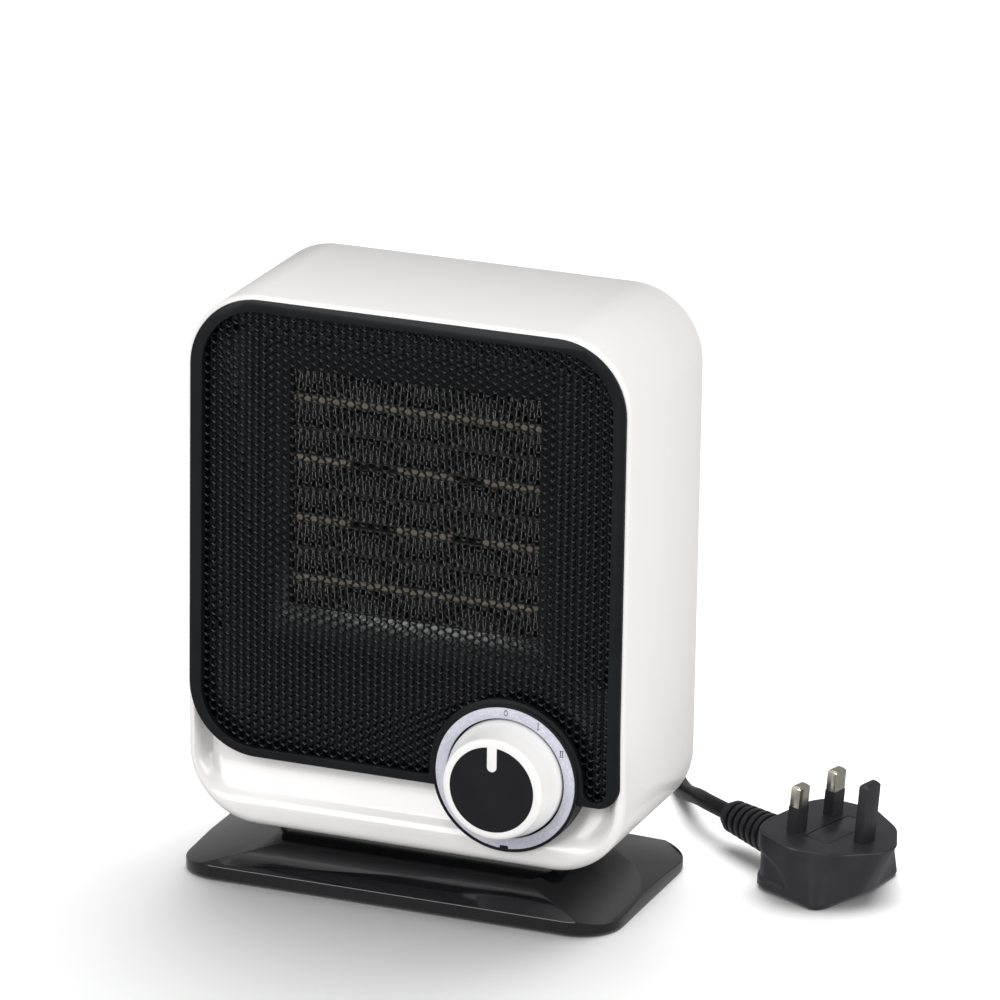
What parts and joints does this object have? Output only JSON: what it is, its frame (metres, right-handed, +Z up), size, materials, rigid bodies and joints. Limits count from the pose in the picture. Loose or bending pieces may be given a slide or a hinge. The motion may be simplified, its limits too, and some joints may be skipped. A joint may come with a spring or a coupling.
{
  "type": "ceramic space heater",
  "caption": "Upright ceramic fan heater with a rounded white case, black framed mesh front, rotary dial, faceted black foot, coiled lead and three-pin plug.",
  "frame": {"origin": "on the floor, under the middle of the heater's own box without its lead and plug", "axes": "+Z up, +X to the right seen from the front, +Y to the back"},
  "size_m": [0.2481, 0.2176, 0.2175],
  "materials": {
    "white_abs": "glossy white moulded ABS",
    "black_satin_abs": "satin black moulded ABS",
    "black_sheet": "black powder-coated grille sheet",
    "silver_dial": "fine silver lacquer",
    "white_knob": "glossy white moulded ABS",
    "black_cap": "polished black ABS",
    "duct_black": "black heat-resistant moulding",
    "fin_aluminium": "rolled aluminium strip",
    "ptc_ceramic": "matt fired barium titanate ceramic",
    "heat_resin": "natural heat-resistant resin",
    "steel": "zinc-plated steel",
    "black_screw": "blacked steel",
    "lamination_steel": "stacked steel laminations",
    "zinc_casting": "as-cast zinc alloy",
    "coil_tape": "yellow winding tape",
    "brass": "stamped brass",
    "black_gloss_abs": "polished black ABS",
    "rubber": "moulded rubber",
    "cord_pvc": "flexible black PVC",
    "plug_pvc": "satin moulded black PVC",
    "nickel_pins": "nickel-plated brass"
  },
  "bodies": {
    "heater": {"housing_shell": "white_abs", "rear_cover": "white_abs", "front_bezel": "black_satin_abs", "front_grille": "black_sheet", "dial_ring": "silver_dial", "rotary_switch": "duct_black", "switch_terminals": "brass", "switch_screws": "steel", "element_fins": "fin_aluminium", "element_plates": "fin_aluminium", "element_stones": "ptc_ceramic", "element_end_caps": "heat_resin", "element_terminals": "brass", "air_duct": "duct_black", "thermal_cutout": "heat_resin", "thermal_fuse": "steel", "fan_shroud": "duct_black", "motor_strap": "steel", "motor_stator": "lamination_steel", "motor_coil": "coil_tape", "motor_bridges": "zinc_casting", "tilt_switch": "duct_black", "terminal_block": "heat_resin", "cord_clamp": "duct_black", "base_stand": "black_gloss_abs", "base_plate": "duct_black", "base_feet": "rubber", "base_screws": "steel", "cover_screws": "black_screw", "duct_screws": "steel", "shroud_screws": "steel", "strap_screws": "steel", "cord_gland": "cord_pvc", "cord_gland_run": "cord_pvc", "cord_coil": "cord_pvc", "cord_plug_run": "cord_pvc", "plug_body": "plug_pvc", "plug_fuse_cover": "plug_pvc", "plug_pins": "nickel_pins", "pin_sleeves": "plug_pvc", "earth_pin": "plug_pvc", "plug_relief": "cord_pvc"},
    "knob": {"knob": "white_knob", "knob_cap": "black_cap", "switch_shaft": "steel"},
    "fan": {"fan_impeller": "duct_black", "motor_rotor": "lamination_steel", "motor_shaft": "steel"},
    "tilt": {"tilt_weight": "steel"}
  },
  "joints": [
    {"name": "knob_turn", "type": "hinge", "parent": "heater", "child": "knob", "pos_m": [0.0401, 0, 0.0516], "axis": [0, 1, 0], "range_deg": [0, 60]},
    {"name": "fan_spin", "type": "hinge", "parent": "heater", "child": "fan", "pos_m": [0, 0, 0.1454], "axis": [0, 1, 0], "continuous": true},
    {"name": "tilt_swing", "type": "hinge", "parent": "heater", "child": "tilt", "pos_m": [0, 0.01, 0.052], "axis": [0, 1, 0], "range_deg": [-35, 35]}
  ]
}
